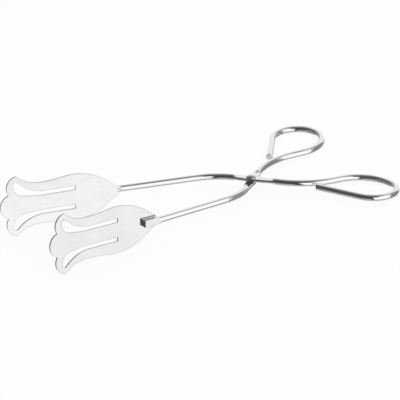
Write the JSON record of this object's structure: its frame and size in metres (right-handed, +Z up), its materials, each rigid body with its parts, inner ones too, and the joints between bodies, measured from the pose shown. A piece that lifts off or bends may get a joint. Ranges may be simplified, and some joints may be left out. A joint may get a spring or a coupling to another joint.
{
  "type": "scissor pastry tongs",
  "caption": "Scissor tongs for serving pastries: crossed polished steel rods on a rivet, open finger loops, and slotted tulip-shaped blades that grip and lift.",
  "frame": {"origin": "on the table, under the centre of the tongs' bounding box at rest", "axes": "+X from the blades to the finger loops, +Y to the right-hand blade as seen from the loops, +Z up from the table"},
  "size_m": [0.2266, 0.1232, 0.0379],
  "materials": {
    "polished_rod": "polished bright",
    "polished_sheet": "mirror polished",
    "rivet_steel": "polished"
  },
  "bodies": {
    "lower_arm": {"lower_rod": "polished_rod", "left_blade": "polished_sheet", "pivot_rivet": "rivet_steel"},
    "upper_arm": {"upper_rod": "polished_rod", "right_blade": "polished_sheet"}
  },
  "joints": [
    {"name": "pivot", "type": "hinge", "parent": "lower_arm", "child": "upper_arm", "pos_m": [0.03889, 0.00015, 0.00773], "axis": [0.079, 0.0331, 0.9963], "range_deg": [-60, 23.2]}
  ]
}
